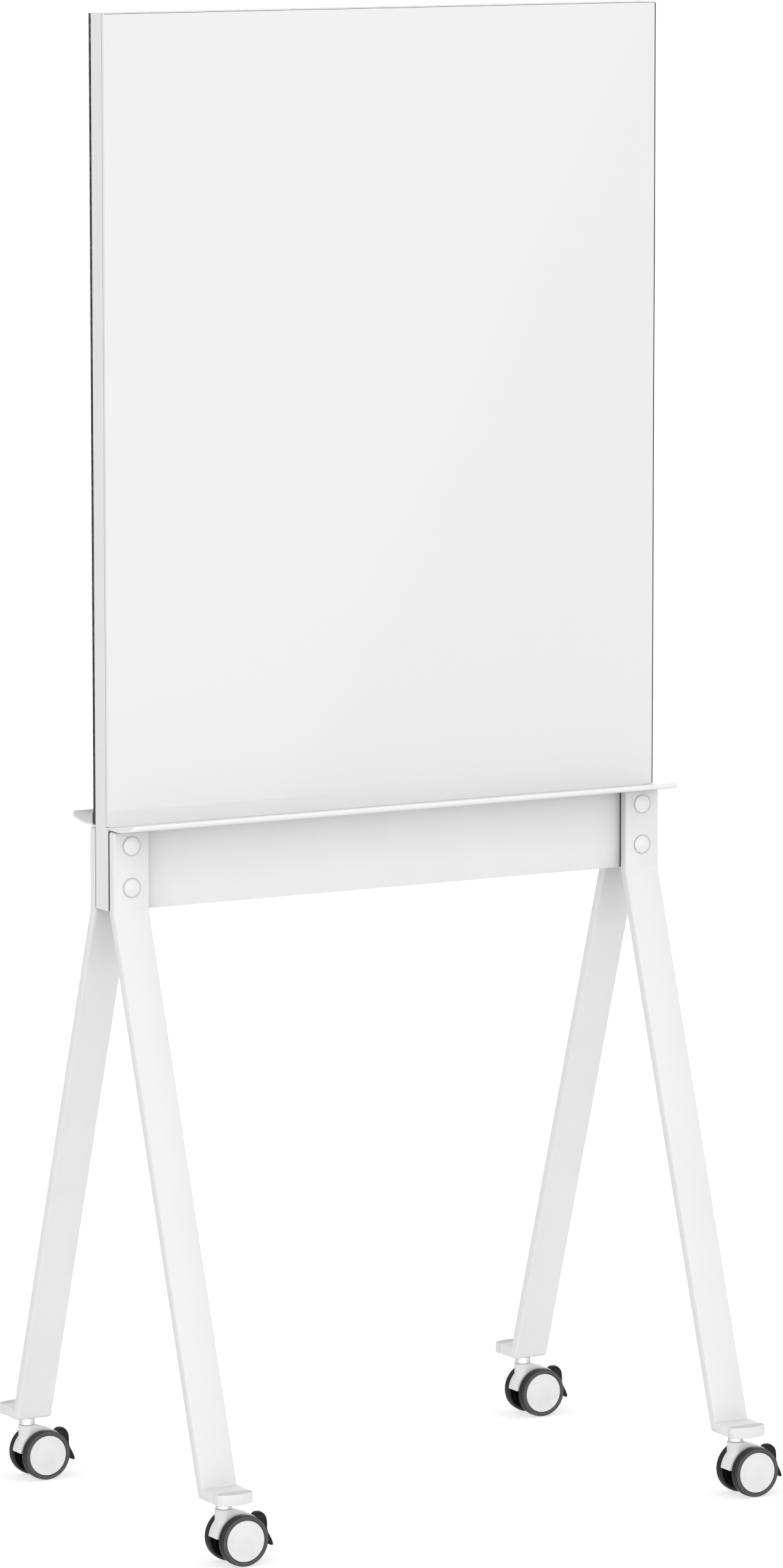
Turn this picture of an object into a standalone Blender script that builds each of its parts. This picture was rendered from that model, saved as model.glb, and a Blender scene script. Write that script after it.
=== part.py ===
"""A rolling whiteboard: glass on the front, pin felt on the back, a tray on each side,
four splayed legs bolted through a lower beam, and four braked twin-wheel castors.

Metres, +Z up, the glass faces -Y. Lengths below are in millimetres until mm() turns them
into metres.
"""
import math

import bmesh
import bpy
from mathutils import Matrix, Vector

# ---- driving dimensions, in millimetres ------------------------------------------------
BOARD_WIDTH = 800.0
TOTAL_HEIGHT = 1910.0
SLAB_FRONT = -17.0            # the glass face, in Y
SLAB_BACK = 17.0              # the back of frame and beam
GLASS_THICKNESS = 5.0
FELT_THICKNESS = 5.3
STILE_WIDTH = 12.0
TOP_RAIL_HEIGHT = 15.0
PANEL_BOTTOM = 894.7          # lower edge of glass and core
BEAM_BOTTOM = 788.5
BEAM_TOP = 891.6
GAP = 0.3                     # between pieces that touch

TRAY_UNDERSIDE = 892.0
TRAY_PLATE = 2.4
TRAY_REACH = 85.0             # outer edge of a tray, from the board's middle plane
TRAY_CORNER = 10.0
RAIL_DEPTH = 8.7              # felt rail, behind the slab
RAIL_TOP = 909.8
RAIL_BOTTOM = PANEL_BOTTOM

LEG_WIDTH = 50.0
LEG_THICKNESS = 14.0
LEG_EDGE_RADIUS = 2.2
LEG_TOP = 890.0
LEG_BEND = 785.3              # height of the upper bend
LEG_PLANE = 26.0              # middle of the upright plate, from the board's middle plane
FOOT_BEND = 254.6             # middle of the lower bend
FOOT_MIDDLE = 90.0            # height of the foot's middle
FOOT_END = 291.0              # where the end cap starts
CAP_END = 309.0
CAP_BOW = 4.0                 # bulge of a cap's front
CAP_CORNER = 7.5
GASKET_INSET = 0.6

BOLT_HEIGHTS = (818.8, 871.7)
BOLT_HEAD_RADIUS = 12.25
BOLT_DOME = 3.6
BOLT_RIM = 0.6                # straight edge of the head, below its dome
SLEEVE_RADIUS = 5.0
SLEEVE_END = 20.0             # from the board's middle plane, on the nut's side
SHANK_RADIUS = 3.5
SHANK_END = 8.0
SHANK_BORE_END = 12.0

STEM_X = 375.0
STEM_Y = 270.0
TRAIL = 18.0                  # wheel axis behind the swivel axis, towards +X
WHEEL_RADIUS = 32.5
WHEEL_INNER = 11.75           # inner face of a wheel, from the castor's middle
WHEEL_OUTER = 24.9
COVER_SEAT = 3.2              # depth of the hub cover's seat in the wheel
HUB_RADIUS = 26.1
AXLE_RADIUS = 3.0
AXLE_HALF = 21.0
BODY_HALF = 11.2
COLUMN_RADIUS = 11.0
DECK_HEIGHT = 71.3
FENDER_OUTER = 33.6
FENDER_INNER = 29.0
FENDER_START = 174.0          # degrees round the wheel axis, from +X
FENDER_END = 46.0
WEB_HALF = 5.0                # wall between the wheels
WEB_BOSS = 9.0
CHEEK_RADIUS = 4.0            # round the lever's pin
STEM_PIN_RADIUS = 5.4
STEM_PIN_BOTTOM = 52.0
STEM_DEPTH = 10.0             # of the threaded top, in the foot
COLLAR_RADIUS = 9.8
COLLAR_FLANGE = 1.4
LEVER_HALF = 8.6
LEVER_NECK_HALF = 7.0
LEVER_PIVOT = (27.0, 11.0)    # from the wheel axis, in X and Z
LEVER_TIP = 47.0              # furthest point of the lever, from the wheel axis in X
LEVER_PIN_RADIUS = 1.6
LEVER_OUTLINE = (             # (x, z) from the wheel axis: lobe, hollow middle, lip, underside
    (24.6, 25.4), (26.0, 28.4), (28.6, 30.2), (31.6, 30.4), (34.6, 28.4), (36.8, 25.0),
    (38.2, 20.6), (38.8, 15.0), (38.8, 9.6), (39.8, 4.8), (42.2, 0.0), (45.0, -5.4),
    (LEVER_TIP, -10.8), (46.8, -13.0), (45.0, -13.4), (40.6, -11.6), (35.4, -10.4),
    (33.4, -4.0), (31.2, 3.0), (28.6, 6.2),
)

ROUND_STEPS = 32
SMALL_STEPS = 20
SHARP_ANGLE = 32.0            # degrees between faces from which an edge shades sharp

# The box around the whole part is centred in X, and the levers reach further than the board.
BOARD_X = (BOARD_WIDTH / 2 - (STEM_X + TRAIL + LEVER_TIP)) / 2

CORNERS = {
    "front_left": (-1, -1),
    "front_right": (1, -1),
    "back_left": (-1, 1),
    "back_right": (1, 1),
}


def mm(*values):
    """Millimetres to metres, as a Vector."""
    return Vector([value / 1000.0 for value in values])


# ---- materials ---------------------------------------------------------------------------
def material(name, colour, roughness, metallic=0.0):
    made = bpy.data.materials.new(name)
    made.use_nodes = True
    shader = made.node_tree.nodes["Principled BSDF"]
    shader.inputs["Base Color"].default_value = (*colour, 1.0)
    shader.inputs["Roughness"].default_value = roughness
    shader.inputs["Metallic"].default_value = metallic
    made.diffuse_color = (*colour, 1.0)
    return made


# ---- mesh helpers ------------------------------------------------------------------------
def place(name, mesh, look, origin=(0.0, 0.0, 0.0), parent=None):
    """One named object; its mesh is local to origin, in millimetres of world space."""
    placed = bpy.data.objects.new(name, mesh)
    bpy.context.collection.objects.link(placed)
    if not mesh.materials:
        mesh.materials.append(look)
    placed.location = mm(*origin)
    if parent is not None:
        placed.parent = parent
        placed.location = mm(*origin) - parent.matrix_world.translation
    return placed


def pivot(name, origin, parent=None):
    """An empty on a joint's axis."""
    made = bpy.data.objects.new(name, None)
    bpy.context.collection.objects.link(made)
    made.empty_display_size = 0.02
    made.location = mm(*origin)
    if parent is not None:
        made.parent = parent
        made.location = mm(*origin) - parent.matrix_world.translation
    bpy.context.view_layer.update()
    return made


def shade(mesh):
    mesh.shade_smooth()
    mesh.set_sharp_from_angle(angle=math.radians(SHARP_ANGLE))


def finish_mesh(shape, name):
    bmesh.ops.recalc_face_normals(shape, faces=shape.faces)
    mesh = bpy.data.meshes.new(name)
    shape.to_mesh(mesh)
    shape.free()
    shade(mesh)
    return mesh


def joined_mesh(blank, name):
    """The mesh of an object with its modifiers applied, to share between copies."""
    bpy.context.view_layer.update()
    evaluated = blank.evaluated_get(bpy.context.evaluated_depsgraph_get())
    mesh = bpy.data.meshes.new_from_object(evaluated)
    mesh.name = name
    shade(mesh)
    return mesh


def add_prism(shape, outline, low, high, axis="Y"):
    """Adds a closed outline to shape, extruded along an axis from low to high.

    An outline point is (x, z) along Y, (y, z) along X and (x, y) along Z.
    """
    turn = {
        "Y": lambda a, b, depth: mm(a, depth, b),
        "X": lambda a, b, depth: mm(depth, a, b),
        "Z": lambda a, b, depth: mm(a, b, depth),
    }[axis]
    face = shape.faces.new([shape.verts.new(turn(a, b, low)) for a, b in outline])
    step = turn(0, 0, high) - turn(0, 0, low)
    grown = bmesh.ops.extrude_face_region(shape, geom=[face])
    moved = [part for part in grown["geom"] if isinstance(part, bmesh.types.BMVert)]
    bmesh.ops.translate(shape, verts=moved, vec=step)


def prism(name, outline, low, high, axis="Y"):
    shape = bmesh.new()
    add_prism(shape, outline, low, high, axis)
    return finish_mesh(shape, name)


def rectangle(a0, a1, b0, b1):
    return [(a0, b0), (a1, b0), (a1, b1), (a0, b1)]


def arc(centre, radius, start, end, steps):
    """Points from start to end degrees, both included."""
    angles = [math.radians(start + (end - start) * i / steps) for i in range(steps + 1)]
    return [(centre[0] + radius * math.cos(t), centre[1] + radius * math.sin(t)) for t in angles]


def rounded_rectangle(a0, a1, b0, b1, radius, steps=3):
    return (
        arc((a1 - radius, b0 + radius), radius, -90, 0, steps)
        + arc((a1 - radius, b1 - radius), radius, 0, 90, steps)
        + arc((a0 + radius, b1 - radius), radius, 90, 180, steps)
        + arc((a0 + radius, b0 + radius), radius, 180, 270, steps)
    )


def turned(name, profile, axis="Z", steps=ROUND_STEPS):
    """A closed profile of (radius, height) spun about an axis; radius 0 closes on the axis."""
    shape = bmesh.new()
    rings = []
    for radius, height in profile:
        if radius == 0.0:
            rings.append([shape.verts.new(mm(0, 0, height))])
            continue
        ring = []
        for i in range(steps):
            angle = 2 * math.pi * i / steps
            ring.append(shape.verts.new(mm(radius * math.cos(angle), radius * math.sin(angle), height)))
        rings.append(ring)
    pairs = list(zip(rings, rings[1:]))
    if profile[0][0] and profile[-1][0]:
        pairs.append((rings[-1], rings[0]))
    for low, high in pairs:
        for i in range(steps):
            after = i + 1
            corners = [low[i % len(low)], low[after % len(low)], high[after % len(high)], high[i % len(high)]]
            unique = list(dict.fromkeys(corners))
            if len(unique) > 2:
                shape.faces.new(unique)
    if axis == "Y":
        bmesh.ops.rotate(shape, verts=shape.verts, matrix=Matrix.Rotation(math.radians(-90), 3, "X"))
    return finish_mesh(shape, name)


def bevel(target, width, segments=2, angle=40):
    made = target.modifiers.new("soft_edges", "BEVEL")
    made.width = width / 1000.0
    made.segments = segments
    made.limit_method = "ANGLE"
    made.angle_limit = math.radians(angle)


def cutter(name, mesh):
    made = bpy.data.objects.new(name, mesh)
    bpy.context.collection.objects.link(made)
    made.hide_render = True
    made.display_type = "WIRE"
    return made


def boolean(target, other, operation):
    made = target.modifiers.new(operation.lower(), "BOOLEAN")
    made.operation = operation
    made.solver = "EXACT"
    made.object = other


def add_rod(shape, radius, low, high, at, axis="Y", steps=24):
    """A cylinder added to shape; at gives the two coordinates across the axis."""
    add_prism(shape, arc(at, radius, 0, 360 - 360 / steps, steps - 1), low, high, axis)


# ---- the board ---------------------------------------------------------------------------
def edge_frame(look):
    """Two full-height stiles and a top rail, stepped back behind the glass."""
    half = BOARD_WIDTH / 2
    rebate = SLAB_FRONT + GLASS_THICKNESS + GAP
    shape = bmesh.new()
    outline = [
        (BOARD_X - half, BEAM_BOTTOM),
        (BOARD_X - half + STILE_WIDTH, BEAM_BOTTOM),
        (BOARD_X - half + STILE_WIDTH, TOTAL_HEIGHT - TOP_RAIL_HEIGHT),
        (BOARD_X + half - STILE_WIDTH, TOTAL_HEIGHT - TOP_RAIL_HEIGHT),
        (BOARD_X + half - STILE_WIDTH, BEAM_BOTTOM),
        (BOARD_X + half, BEAM_BOTTOM),
        (BOARD_X + half, TOTAL_HEIGHT),
        (BOARD_X - half, TOTAL_HEIGHT),
    ]
    add_prism(shape, outline, SLAB_FRONT, SLAB_BACK)
    frame = place("edge_frame", finish_mesh(shape, "edge_frame"), look)
    rebate_shape = bmesh.new()
    wide = rectangle(BOARD_X - half - 5, BOARD_X + half + 5, PANEL_BOTTOM - GAP, TOTAL_HEIGHT + 5)
    add_prism(rebate_shape, wide, SLAB_FRONT - 5, rebate)
    boolean(frame, cutter("glass_rebate_cutter", finish_mesh(rebate_shape, "glass_rebate")), "DIFFERENCE")
    return frame


def lower_beam(look, bolt_holes):
    inner = BOARD_WIDTH / 2 - STILE_WIDTH - GAP
    outline = rectangle(SLAB_FRONT, SLAB_BACK, BEAM_BOTTOM, BEAM_TOP)
    beam = place("lower_beam", prism("lower_beam", outline, BOARD_X - inner, BOARD_X + inner, "X"), look)
    boolean(beam, bolt_holes, "DIFFERENCE")
    return beam


def core_board(look):
    inner = BOARD_WIDTH / 2 - STILE_WIDTH - GAP
    top = TOTAL_HEIGHT - TOP_RAIL_HEIGHT - GAP
    outline = rectangle(BOARD_X - inner, BOARD_X + inner, PANEL_BOTTOM, top)
    front = SLAB_FRONT + GLASS_THICKNESS + GAP
    return place("core_board", prism("core_board", outline, front, SLAB_BACK), look)


def glass_panel(look):
    half = BOARD_WIDTH / 2
    outline = rounded_rectangle(BOARD_X - half, BOARD_X + half, PANEL_BOTTOM, TOTAL_HEIGHT, 2.0)
    return place("glass_panel", prism("glass_panel", outline, SLAB_FRONT, SLAB_FRONT + GLASS_THICKNESS), look)


def felt_panel(look):
    half = BOARD_WIDTH / 2
    outline = rectangle(BOARD_X - half, BOARD_X + half, RAIL_TOP + GAP, TOTAL_HEIGHT)
    front = SLAB_BACK + GAP
    return place("felt_panel", prism("felt_panel", outline, front, front + FELT_THICKNESS), look)


def felt_rail(look):
    """A black rail with a rounded outer edge, below the felt."""
    half = BOARD_WIDTH / 2
    front = SLAB_BACK + GAP
    back = front + RAIL_DEPTH
    outline = rectangle(front, back, RAIL_BOTTOM, RAIL_TOP)
    rail = place("felt_rail", prism("felt_rail", outline, BOARD_X - half, BOARD_X + half, "X"), look)
    bevel(rail, 1.2)
    return rail


def tray_outline(root):
    """Half section of a tray as (distance from the middle plane, height)."""
    under = TRAY_UNDERSIDE
    over = under + TRAY_PLATE
    outer = TRAY_REACH
    return [
        (root, under),
        (48.0, under),
        (58.0, under + 1.2),
        (68.0, under + 2.9),
        (76.0, under + 4.4),
        (81.5, under + 5.9),
        (outer - 0.8, under + 7.6),
        (outer, under + 9.6),
        (outer - 0.4, under + 11.2),
        (outer - 1.8, under + 12.0),
        (outer - 3.4, under + 11.8),
        (outer - 4.4, under + 10.7),
        (outer - 5.4, under + 8.8),
        (76.0, under + 7.0),
        (68.0, under + 5.3),
        (58.0, under + 3.6),
        (48.0, over),
        (root, over),
    ]


def tray(name, side, look):
    """A pen tray along one side of the board: side is -1 at the front and 1 at the back."""
    half = BOARD_WIDTH / 2
    root = 1.0
    face = -SLAB_FRONT + GAP if side < 0 else SLAB_BACK + GAP + RAIL_DEPTH + GAP
    section = [(side * along, height) for along, height in tray_outline(root)]
    made = place(name, prism(name, section, BOARD_X - half, BOARD_X + half, "X"), look)
    keep = bmesh.new()
    tongue = half - STILE_WIDTH - 2 * GAP
    corner = TRAY_CORNER
    reach = TRAY_REACH + 0.5
    plan = (
        [(-tongue, 0.0), (tongue, 0.0), (tongue, face), (half + 1, face), (half + 1, reach - corner)]
        + arc((half - corner, reach - corner), corner, 0, 90, 6)
        + arc((-half + corner, reach - corner), corner, 90, 180, 6)
        + [(-half - 1, reach - corner), (-half - 1, face), (-tongue, face)]
    )
    plan = [(BOARD_X + x, side * along) for x, along in plan]
    add_prism(keep, plan, TRAY_UNDERSIDE - 5, TRAY_UNDERSIDE + 25, "Z")
    boolean(made, cutter(name + "_plan_cutter", finish_mesh(keep, name + "_plan")), "INTERSECT")
    return made


# ---- legs --------------------------------------------------------------------------------
def leg_mesh(side):
    """A flat section swept down, outwards and along the foot with mitred bends.

    The mesh is local to the leg's middle in X and to the board's middle plane in Y.
    """
    path = [Vector((LEG_PLANE, LEG_TOP)), Vector((LEG_PLANE, LEG_BEND)),
            Vector((FOOT_BEND, FOOT_MIDDLE)), Vector((FOOT_END, FOOT_MIDDLE))]
    half = LEG_WIDTH / 2
    section = rounded_rectangle(-half, half, -LEG_THICKNESS / 2, LEG_THICKNESS / 2, LEG_EDGE_RADIUS, 2)
    shape = bmesh.new()
    rings = []
    for i, point in enumerate(path):
        before = (path[i] - path[i - 1]).normalized() if i else (path[1] - path[0]).normalized()
        after = (path[i + 1] - path[i]).normalized() if i + 1 < len(path) else before
        normal_before = Vector((-before.y, before.x))
        normal_after = Vector((-after.y, after.x))
        mitre = (normal_before + normal_after) / (1 + normal_before.dot(normal_after))
        ring = []
        for x, depth in section:
            spot = point + mitre * depth
            ring.append(shape.verts.new(mm(x, side * spot.x, spot.y)))
        rings.append(ring)
    count = len(section)
    for low, high in zip(rings, rings[1:]):
        for i in range(count):
            j = (i + 1) % count
            shape.faces.new([low[i], low[j], high[j], high[i]])
    shape.faces.new(rings[0])
    shape.faces.new(list(reversed(rings[-1])))
    return finish_mesh(shape, "leg")


def leg(corner, look, bolt_holes, stem_holes):
    across, side = CORNERS[corner]
    origin = (BOARD_X + across * STEM_X, 0, 0)
    made = place(corner + "_leg", leg_mesh(side), look, origin)
    boolean(made, bolt_holes, "DIFFERENCE")
    boolean(made, stem_holes, "DIFFERENCE")
    return made


def leg_gasket(corner, look, bolt_holes):
    """A thin pad between a leg's upright plate and the board."""
    across, side = CORNERS[corner]
    near = SLAB_BACK + GAP
    far = LEG_PLANE - LEG_THICKNESS / 2 - GAP
    low, high = sorted((side * near, side * far))
    middle = BOARD_X + across * STEM_X
    inset = LEG_WIDTH / 2 - GASKET_INSET
    outline = rectangle(middle - inset, middle + inset, BEAM_BOTTOM + GASKET_INSET, LEG_TOP - GASKET_INSET)
    made = place(corner + "_leg_gasket", prism("gasket", outline, low, high), look)
    boolean(made, bolt_holes, "DIFFERENCE")
    return made


def foot_cap(corner, look):
    """The moulded end of a foot: round corners, and a front that bows outwards."""
    across, side = CORNERS[corner]
    half = LEG_WIDTH / 2
    start = FOOT_END + GAP
    middle = BOARD_X + across * STEM_X
    straight = half - CAP_CORNER
    bow_radius = straight ** 2 / (2 * CAP_BOW) + CAP_BOW / 2
    spread = 0.85 * math.degrees(math.asin(straight / bow_radius))
    corner_along = CAP_END - CAP_BOW - CAP_CORNER
    plan = [(-half, start), (half, start), (half, corner_along)]
    plan += arc((straight, corner_along), CAP_CORNER, 15, 65, 3)
    plan += arc((0, CAP_END - bow_radius), bow_radius, 90 - spread, 90 + spread, 6)
    plan += arc((-straight, corner_along), CAP_CORNER, 115, 165, 3)
    plan += [(-half, corner_along)]
    plan = [(middle + x, side * along) for x, along in plan]
    low = FOOT_MIDDLE - LEG_THICKNESS / 2
    made = place(corner + "_foot_cap", prism("foot_cap", plan, low, low + LEG_THICKNESS, "Z"), look)
    bevel(made, 1.4, angle=60)
    return made


# ---- fasteners ---------------------------------------------------------------------------
def dome_profile(base):
    """Half section of a low round head, from its rim at height base outwards."""
    rise = BOLT_DOME
    radius = (BOLT_HEAD_RADIUS ** 2 + rise ** 2) / (2 * rise)
    rim = math.degrees(math.asin(BOLT_HEAD_RADIUS / radius))
    steps = 3
    points = []
    for i in range(steps):
        angle = math.radians(rim * (1 - i / steps))
        points.append((radius * math.sin(angle), base + BOLT_RIM + rise - radius * (1 - math.cos(angle))))
    return [(BOLT_HEAD_RADIUS, base)] + points + [(0.0, base + BOLT_RIM + rise)]


def bolt_mesh():
    """Local to the board's middle plane, head towards local +Z and so world -Y."""
    face = LEG_PLANE + LEG_THICKNESS / 2 + GAP
    shoulder = SLEEVE_END + GAP
    profile = [(0.0, -SHANK_END), (SHANK_RADIUS, -SHANK_END), (SHANK_RADIUS, shoulder),
               (SLEEVE_RADIUS, shoulder), (SLEEVE_RADIUS, face)] + dome_profile(face)
    return turned("bolt", profile, steps=SMALL_STEPS)


def sleeve_nut_mesh():
    """Local to the board's middle plane, head towards local +Z and so world +Y."""
    face = LEG_PLANE + LEG_THICKNESS / 2 + GAP
    bore = SHANK_RADIUS + GAP
    profile = [(0.0, SHANK_BORE_END), (bore, SHANK_BORE_END), (bore, -SLEEVE_END),
               (SLEEVE_RADIUS, -SLEEVE_END), (SLEEVE_RADIUS, face)] + dome_profile(face)
    return turned("sleeve_nut", profile, steps=SMALL_STEPS)


def fasteners(look):
    bolt = bolt_mesh()
    nut = sleeve_nut_mesh()
    for across, word in ((-1, "left"), (1, "right")):
        for height, level in zip(BOLT_HEIGHTS, ("lower", "upper")):
            spot = (BOARD_X + across * STEM_X, 0, height)
            head = place(f"{word}_{level}_bolt", bolt, look, spot)
            head.rotation_euler.x = math.radians(90)
            sleeve = place(f"{word}_{level}_sleeve_nut", nut, look, spot)
            sleeve.rotation_euler.x = math.radians(-90)


def bolt_hole_cutter():
    shape = bmesh.new()
    for across in (-1, 1):
        for height in BOLT_HEIGHTS:
            spot = (BOARD_X + across * STEM_X, height)
            add_rod(shape, SLEEVE_RADIUS + GAP, -60, 60, spot)
    return cutter("bolt_hole_cutter", finish_mesh(shape, "bolt_holes"))


# ---- castors -----------------------------------------------------------------------------
def stem_mesh():
    """Threaded top in the foot, a collar below it and a swivel pin in the castor body."""
    foot = FOOT_MIDDLE - LEG_THICKNESS / 2 - GAP
    low = DECK_HEIGHT + GAP
    profile = [(0.0, STEM_PIN_BOTTOM), (STEM_PIN_RADIUS, STEM_PIN_BOTTOM), (STEM_PIN_RADIUS, low),
               (COLLAR_RADIUS - 0.6, low), (COLLAR_RADIUS, low + 0.6), (COLLAR_RADIUS, foot - 2.0),
               (COLLAR_RADIUS + COLLAR_FLANGE, foot - 1.0), (COLLAR_RADIUS + COLLAR_FLANGE, foot),
               (SLEEVE_RADIUS, foot), (SLEEVE_RADIUS, foot + STEM_DEPTH), (0.0, foot + STEM_DEPTH)]
    return turned("castor_stem", profile, steps=SMALL_STEPS)


def stem_hole_cutter():
    """Blind holes for the stems, up into all four feet."""
    shape = bmesh.new()
    under = FOOT_MIDDLE - LEG_THICKNESS / 2
    for across, side in CORNERS.values():
        spot = (BOARD_X + across * STEM_X, side * STEM_Y)
        add_rod(shape, SLEEVE_RADIUS + GAP, under - 10, under + STEM_DEPTH + GAP, spot, "Z")
    return cutter("stem_hole_cutter", finish_mesh(shape, "stem_holes"))


def fender_outline():
    """The castor body's side view, local to the swivel axis and the floor."""
    axle = (TRAIL, WHEEL_RADIUS)
    shoulder = DECK_HEIGHT - 0.6
    outer = arc(axle, FENDER_OUTER, FENDER_END, 62, 3)
    nose = arc(axle, FENDER_OUTER, 128, FENDER_START, 8)
    inner = arc(axle, FENDER_INNER, FENDER_START, FENDER_END, 16)
    return outer + [(COLUMN_RADIUS * 0.75, shoulder), (nose[0][0], shoulder)] + nose + inner


def castor_body_mesh():
    """Column, fender, web and lever cheeks joined, then bored for stem, axle and lever."""
    axle = (TRAIL, WHEEL_RADIUS)
    lever_pin = (TRAIL + LEVER_PIVOT[0], WHEEL_RADIUS + LEVER_PIVOT[1])
    notch_half = LEVER_NECK_HALF + 2 * GAP
    notch_start = lever_pin[0] - 5.5
    fender = bmesh.new()
    add_prism(fender, fender_outline(), -BODY_HALF, BODY_HALF)
    whole = cutter("castor_body_blank", finish_mesh(fender, "castor_fender"))

    column = bmesh.new()
    add_rod(column, COLUMN_RADIUS, 46, DECK_HEIGHT, (0, 0), "Z", 32)
    web = bmesh.new()
    web_outline = arc(axle, WEB_BOSS, -150, 30, 10) + [(TRAIL + 12, 60), (-7, 60), (-7, 47)]
    add_prism(web, web_outline, -WEB_HALF, WEB_HALF)
    cheeks = bmesh.new()
    cheek = arc(lever_pin, CHEEK_RADIUS, -160, 20, 8) + arc(axle, FENDER_INNER + 2, FENDER_END, 60, 3)
    for low, high in ((-BODY_HALF, -notch_half), (notch_half, BODY_HALF)):
        add_prism(cheeks, cheek, low, high)
    notch = bmesh.new()
    add_prism(notch, rectangle(notch_start, notch_start + 40, 30, 90), -notch_half, notch_half)
    pin = bmesh.new()
    add_rod(pin, LEVER_PIN_RADIUS, -BODY_HALF + 1, BODY_HALF - 1, lever_pin, "Y", 16)
    bores = bmesh.new()
    add_rod(bores, STEM_PIN_RADIUS + GAP, STEM_PIN_BOTTOM - GAP, DECK_HEIGHT + 5, (0, 0), "Z", 32)
    axle_hole = bmesh.new()
    add_rod(axle_hole, AXLE_RADIUS + GAP, -30, 30, axle)

    steps = ((column, "column", "UNION"), (web, "web", "UNION"), (cheeks, "cheeks", "UNION"),
             (notch, "lever_notch", "DIFFERENCE"), (pin, "lever_pin", "UNION"),
             (bores, "stem_bore", "DIFFERENCE"), (axle_hole, "axle_hole", "DIFFERENCE"))
    for part, word, operation in steps:
        boolean(whole, cutter("castor_" + word + "_cutter", finish_mesh(part, "castor_" + word)), operation)
    return joined_mesh(whole, "castor_body")


def axle_mesh():
    profile = [(0.0, -AXLE_HALF), (AXLE_RADIUS - 0.5, -AXLE_HALF), (AXLE_RADIUS, -AXLE_HALF + 0.5),
               (AXLE_RADIUS, AXLE_HALF - 0.5), (AXLE_RADIUS - 0.5, AXLE_HALF), (0.0, AXLE_HALF)]
    return turned("castor_axle", profile, "Y", 16)


def wheel_mesh():
    """Tyre and wheel core in one, heights measured out from the castor's middle."""
    radius = WHEEL_RADIUS
    inner = WHEEL_INNER
    outer = WHEEL_OUTER
    bore = AXLE_RADIUS + GAP
    seat = outer - COVER_SEAT
    profile = [(bore, inner), (radius - 1.2, inner), (radius, inner + 1.2), (radius, outer - 3.2),
               (radius - 0.9, outer - 2.6), (radius, outer - 2.0), (radius - 1.0, outer),
               (HUB_RADIUS + GAP, outer), (HUB_RADIUS + GAP, seat), (bore, seat)]
    return turned("castor_wheel", profile, "Y")


def hub_cover_mesh():
    outer = WHEEL_OUTER
    low = outer - COVER_SEAT + GAP
    profile = [(0.0, low), (HUB_RADIUS, low), (HUB_RADIUS, outer - 0.4), (HUB_RADIUS - 0.5, outer + 0.1),
               (0.0, outer + 0.1)]
    return turned("hub_cover", profile, "Y")


def lever_mesh():
    """A pedal with an upper lobe, a hollow middle and a lower lip, local to its pin."""
    outline = [(x - LEVER_PIVOT[0], z - LEVER_PIVOT[1]) for x, z in LEVER_OUTLINE]
    outline += arc((0, 0), 5.0, 285, 120, 8)
    lever = bmesh.new()
    add_prism(lever, outline, -LEVER_HALF, LEVER_HALF)
    whole = cutter("brake_lever_blank", finish_mesh(lever, "brake_lever"))
    slots = bmesh.new()
    wheel_axis = (-LEVER_PIVOT[0], -LEVER_PIVOT[1])
    for low, high in ((-20.0, -LEVER_NECK_HALF), (LEVER_NECK_HALF, 20.0)):
        add_prism(slots, arc(wheel_axis, FENDER_OUTER + 1.2, -60, 90, 30) + [wheel_axis], low, high)
    hole = bmesh.new()
    add_rod(hole, LEVER_PIN_RADIUS + GAP, -20, 20, (0, 0), "Y", 16)
    boolean(whole, cutter("lever_slot_cutter", finish_mesh(slots, "lever_slots")), "DIFFERENCE")
    boolean(whole, cutter("lever_hole_cutter", finish_mesh(hole, "lever_hole")), "DIFFERENCE")
    return joined_mesh(whole, "brake_lever")


def castors(looks):
    stem = stem_mesh()
    body = castor_body_mesh()
    axle = axle_mesh()
    wheel = wheel_mesh()
    cover = hub_cover_mesh()
    lever = lever_mesh()
    for corner, (across, side) in CORNERS.items():
        x = BOARD_X + across * STEM_X
        y = side * STEM_Y
        place(corner + "_castor_stem", stem, looks["steel"], (x, y, 0))
        swivel = pivot(corner + "_swivel", (x, y, 0))
        place(corner + "_castor_body", body, looks["white_plastic"], (x, y, 0), swivel)
        hub = pivot(corner + "_axle_line", (x + TRAIL, y, WHEEL_RADIUS), swivel)
        place(corner + "_castor_axle", axle, looks["steel"], (x + TRAIL, y, WHEEL_RADIUS), hub)
        for turn, word in ((180, "front"), (0, "back")):
            spot = (x + TRAIL, y, WHEEL_RADIUS)
            tyre = place(f"{corner}_castor_{word}_wheel", wheel, looks["tyre"], spot, hub)
            tyre.rotation_euler.z = math.radians(turn)
            disc = place(f"{corner}_castor_{word}_hub_cover", cover, looks["white_plastic"], spot, hub)
            disc.rotation_euler.z = math.radians(turn)
        pin = (x + TRAIL + LEVER_PIVOT[0], y, WHEEL_RADIUS + LEVER_PIVOT[1])
        place(corner + "_brake_lever", lever, looks["black_plastic"], pin, swivel)


# ---- the whole part ----------------------------------------------------------------------
def clear_scene():
    for item in list(bpy.data.objects):
        bpy.data.objects.remove(item, do_unlink=True)


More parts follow.
